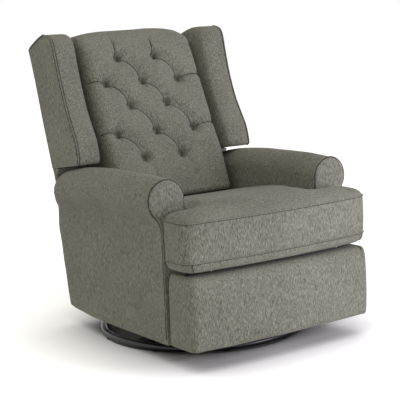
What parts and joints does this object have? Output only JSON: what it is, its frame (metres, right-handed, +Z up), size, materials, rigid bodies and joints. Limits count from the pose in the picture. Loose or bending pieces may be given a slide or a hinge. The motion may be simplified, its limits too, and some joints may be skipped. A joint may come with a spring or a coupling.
{
  "type": "swivel glider recliner",
  "caption": "Wing-back recliner with a tufted back, rolled arms, box seat and fold-out footrest, on a swivelling and gliding round tube base.",
  "frame": {"origin": "on the floor, on the swivel axis, under the middle of the closed chair", "axes": "+Z up, the chair faces -Y, +X is the sitter's left"},
  "size_m": [0.8398, 1.0334, 1.083],
  "materials": {
    "upholstery": "heathered grey-olive woven fabric with vertical slubs",
    "black_steel": "satin black powder coat",
    "zinc_steel": "zinc-plated pins and bolts",
    "glide_plastic": "moulded black plastic",
    "frame_wood": "raw hardwood and plywood frame",
    "webbing": "woven elastic webbing",
    "lever_plastic": "moulded black plastic"
  },
  "bodies": {
    "base": {"base_ring": "black_steel", "base_cross_bars": "black_steel", "floor_glides": "glide_plastic", "lower_swivel_plate": "black_steel", "swivel_bearing": "glide_plastic"},
    "swivel_frame": {"upper_swivel_plate": "black_steel", "swivel_bolt": "zinc_steel", "upright_plates": "black_steel", "glide_pivot_pins": "zinc_steel"},
    "front_glide": {"front_glide_links": "black_steel"},
    "rear_glide": {"rear_glide_links": "black_steel"},
    "carriage": {"hanger_plates": "black_steel", "hanger_pins": "zinc_steel", "cross_tubes": "black_steel", "track_plates": "black_steel", "track_rollers": "zinc_steel", "arm_frame_left": "frame_wood", "arm_frame_right": "frame_wood", "arm_pad_left": "upholstery", "arm_pad_right": "upholstery", "arm_facing_left": "upholstery", "arm_facing_right": "upholstery", "rear_base_panel": "upholstery", "release_bracket": "zinc_steel"},
    "lever": {"release_lever": "lever_plastic"},
    "seat": {"seat_side_plates": "black_steel", "seat_link_rivets": "zinc_steel", "seat_front_rail": "frame_wood", "seat_rear_rail": "frame_wood", "seat_side_rail_left": "frame_wood", "seat_side_rail_right": "frame_wood", "seat_webbing": "webbing", "seat_cushion": "upholstery"},
    "back": {"back_brackets": "black_steel", "recline_pins": "zinc_steel", "back_inner_frame": "frame_wood", "back_cushion": "upholstery", "back_buttons": "upholstery", "wing_left": "upholstery", "wing_right": "upholstery", "wing_post_left": "upholstery", "wing_post_right": "upholstery", "outside_back_panel": "upholstery"},
    "drive": {"drive_links": "black_steel", "drive_link_rivets": "zinc_steel", "torque_tube": "black_steel"},
    "rear_drive": {"rear_drive_links": "black_steel", "rear_drive_rivets": "zinc_steel"},
    "carrying": {"carrying_links": "black_steel"},
    "guide": {"guide_links": "black_steel"},
    "footrest": {"footrest_brackets": "black_steel", "footrest_rivets": "zinc_steel", "footrest_board": "frame_wood", "footrest_pad": "upholstery", "footrest_side_left": "upholstery", "footrest_side_right": "upholstery"}
  },
  "joints": [
    {"name": "swivel", "type": "hinge", "parent": "base", "child": "swivel_frame", "pos_m": [0, 0, 0.047], "axis": [0, 0, 1], "continuous": true},
    {"name": "glide", "type": "hinge", "parent": "swivel_frame", "child": "front_glide", "pos_m": [0, -0.09, 0.19], "axis": [1, 0, 0], "range_deg": [-24, 24]},
    {"name": "glide_rear", "type": "hinge", "parent": "swivel_frame", "child": "rear_glide", "pos_m": [0, 0.09, 0.19], "axis": [1, 0, 0], "range_deg": [-24, 24]},
    {"name": "glide_level", "type": "hinge", "parent": "front_glide", "child": "carriage", "pos_m": [0, -0.09, 0.085], "axis": [1, 0, 0], "range_deg": [-24, 24]},
    {"name": "release", "type": "hinge", "parent": "carriage", "child": "lever", "pos_m": [-0.2786, -0.09, 0.43], "axis": [-1, 0, 0], "range_deg": [0, 22], "stiffness_Nm_per_rad": 0.6, "springref_deg": -20.05},
    {"name": "recline", "type": "hinge", "parent": "seat", "child": "back", "pos_m": [0, 0.32, 0.3], "axis": [-1, 0, 0], "range_deg": [0, 30]},
    {"name": "seat_advance", "type": "slide", "parent": "carriage", "child": "seat", "axis": [0, -0.995, 0.0995], "range_m": [0, 0.04]},
    {"name": "footrest_drive", "type": "hinge", "parent": "seat", "child": "drive", "pos_m": [0, -0.265, 0.3], "axis": [-1, 0, 0], "range_deg": [0, 92]},
    {"name": "footrest_rear_drive", "type": "hinge", "parent": "seat", "child": "rear_drive", "pos_m": [0, -0.19606, 0.28785], "axis": [-1, 0, 0], "range_deg": [0, 92]},
    {"name": "footrest_elbow", "type": "hinge", "parent": "drive", "child": "carrying", "pos_m": [0, -0.18071, 0.09138], "axis": [-1, 0, 0], "range_deg": [-92, 0]},
    {"name": "footrest_guide", "type": "hinge", "parent": "drive", "child": "guide", "pos_m": [0, -0.1957, 0.12847], "axis": [-1, 0, 0], "range_deg": [-92, 0]},
    {"name": "footrest_turn", "type": "hinge", "parent": "carrying", "child": "footrest", "pos_m": [0, -0.36502, 0.19995], "axis": [-1, 0, 0], "range_deg": [0, 92]}
  ],
  "couplings": [
    {"joint": "glide_rear", "follows": "glide", "ratio": 1},
    {"joint": "glide_level", "follows": "glide", "ratio": -1},
    {"joint": "seat_advance", "follows": "recline", "m_per_rad": 0.076392},
    {"joint": "footrest_rear_drive", "follows": "footrest_drive", "ratio": 1},
    {"joint": "footrest_elbow", "follows": "footrest_drive", "ratio": -1},
    {"joint": "footrest_guide", "follows": "footrest_drive", "ratio": -1},
    {"joint": "footrest_turn", "follows": "footrest_drive", "ratio": 1}
  ]
}
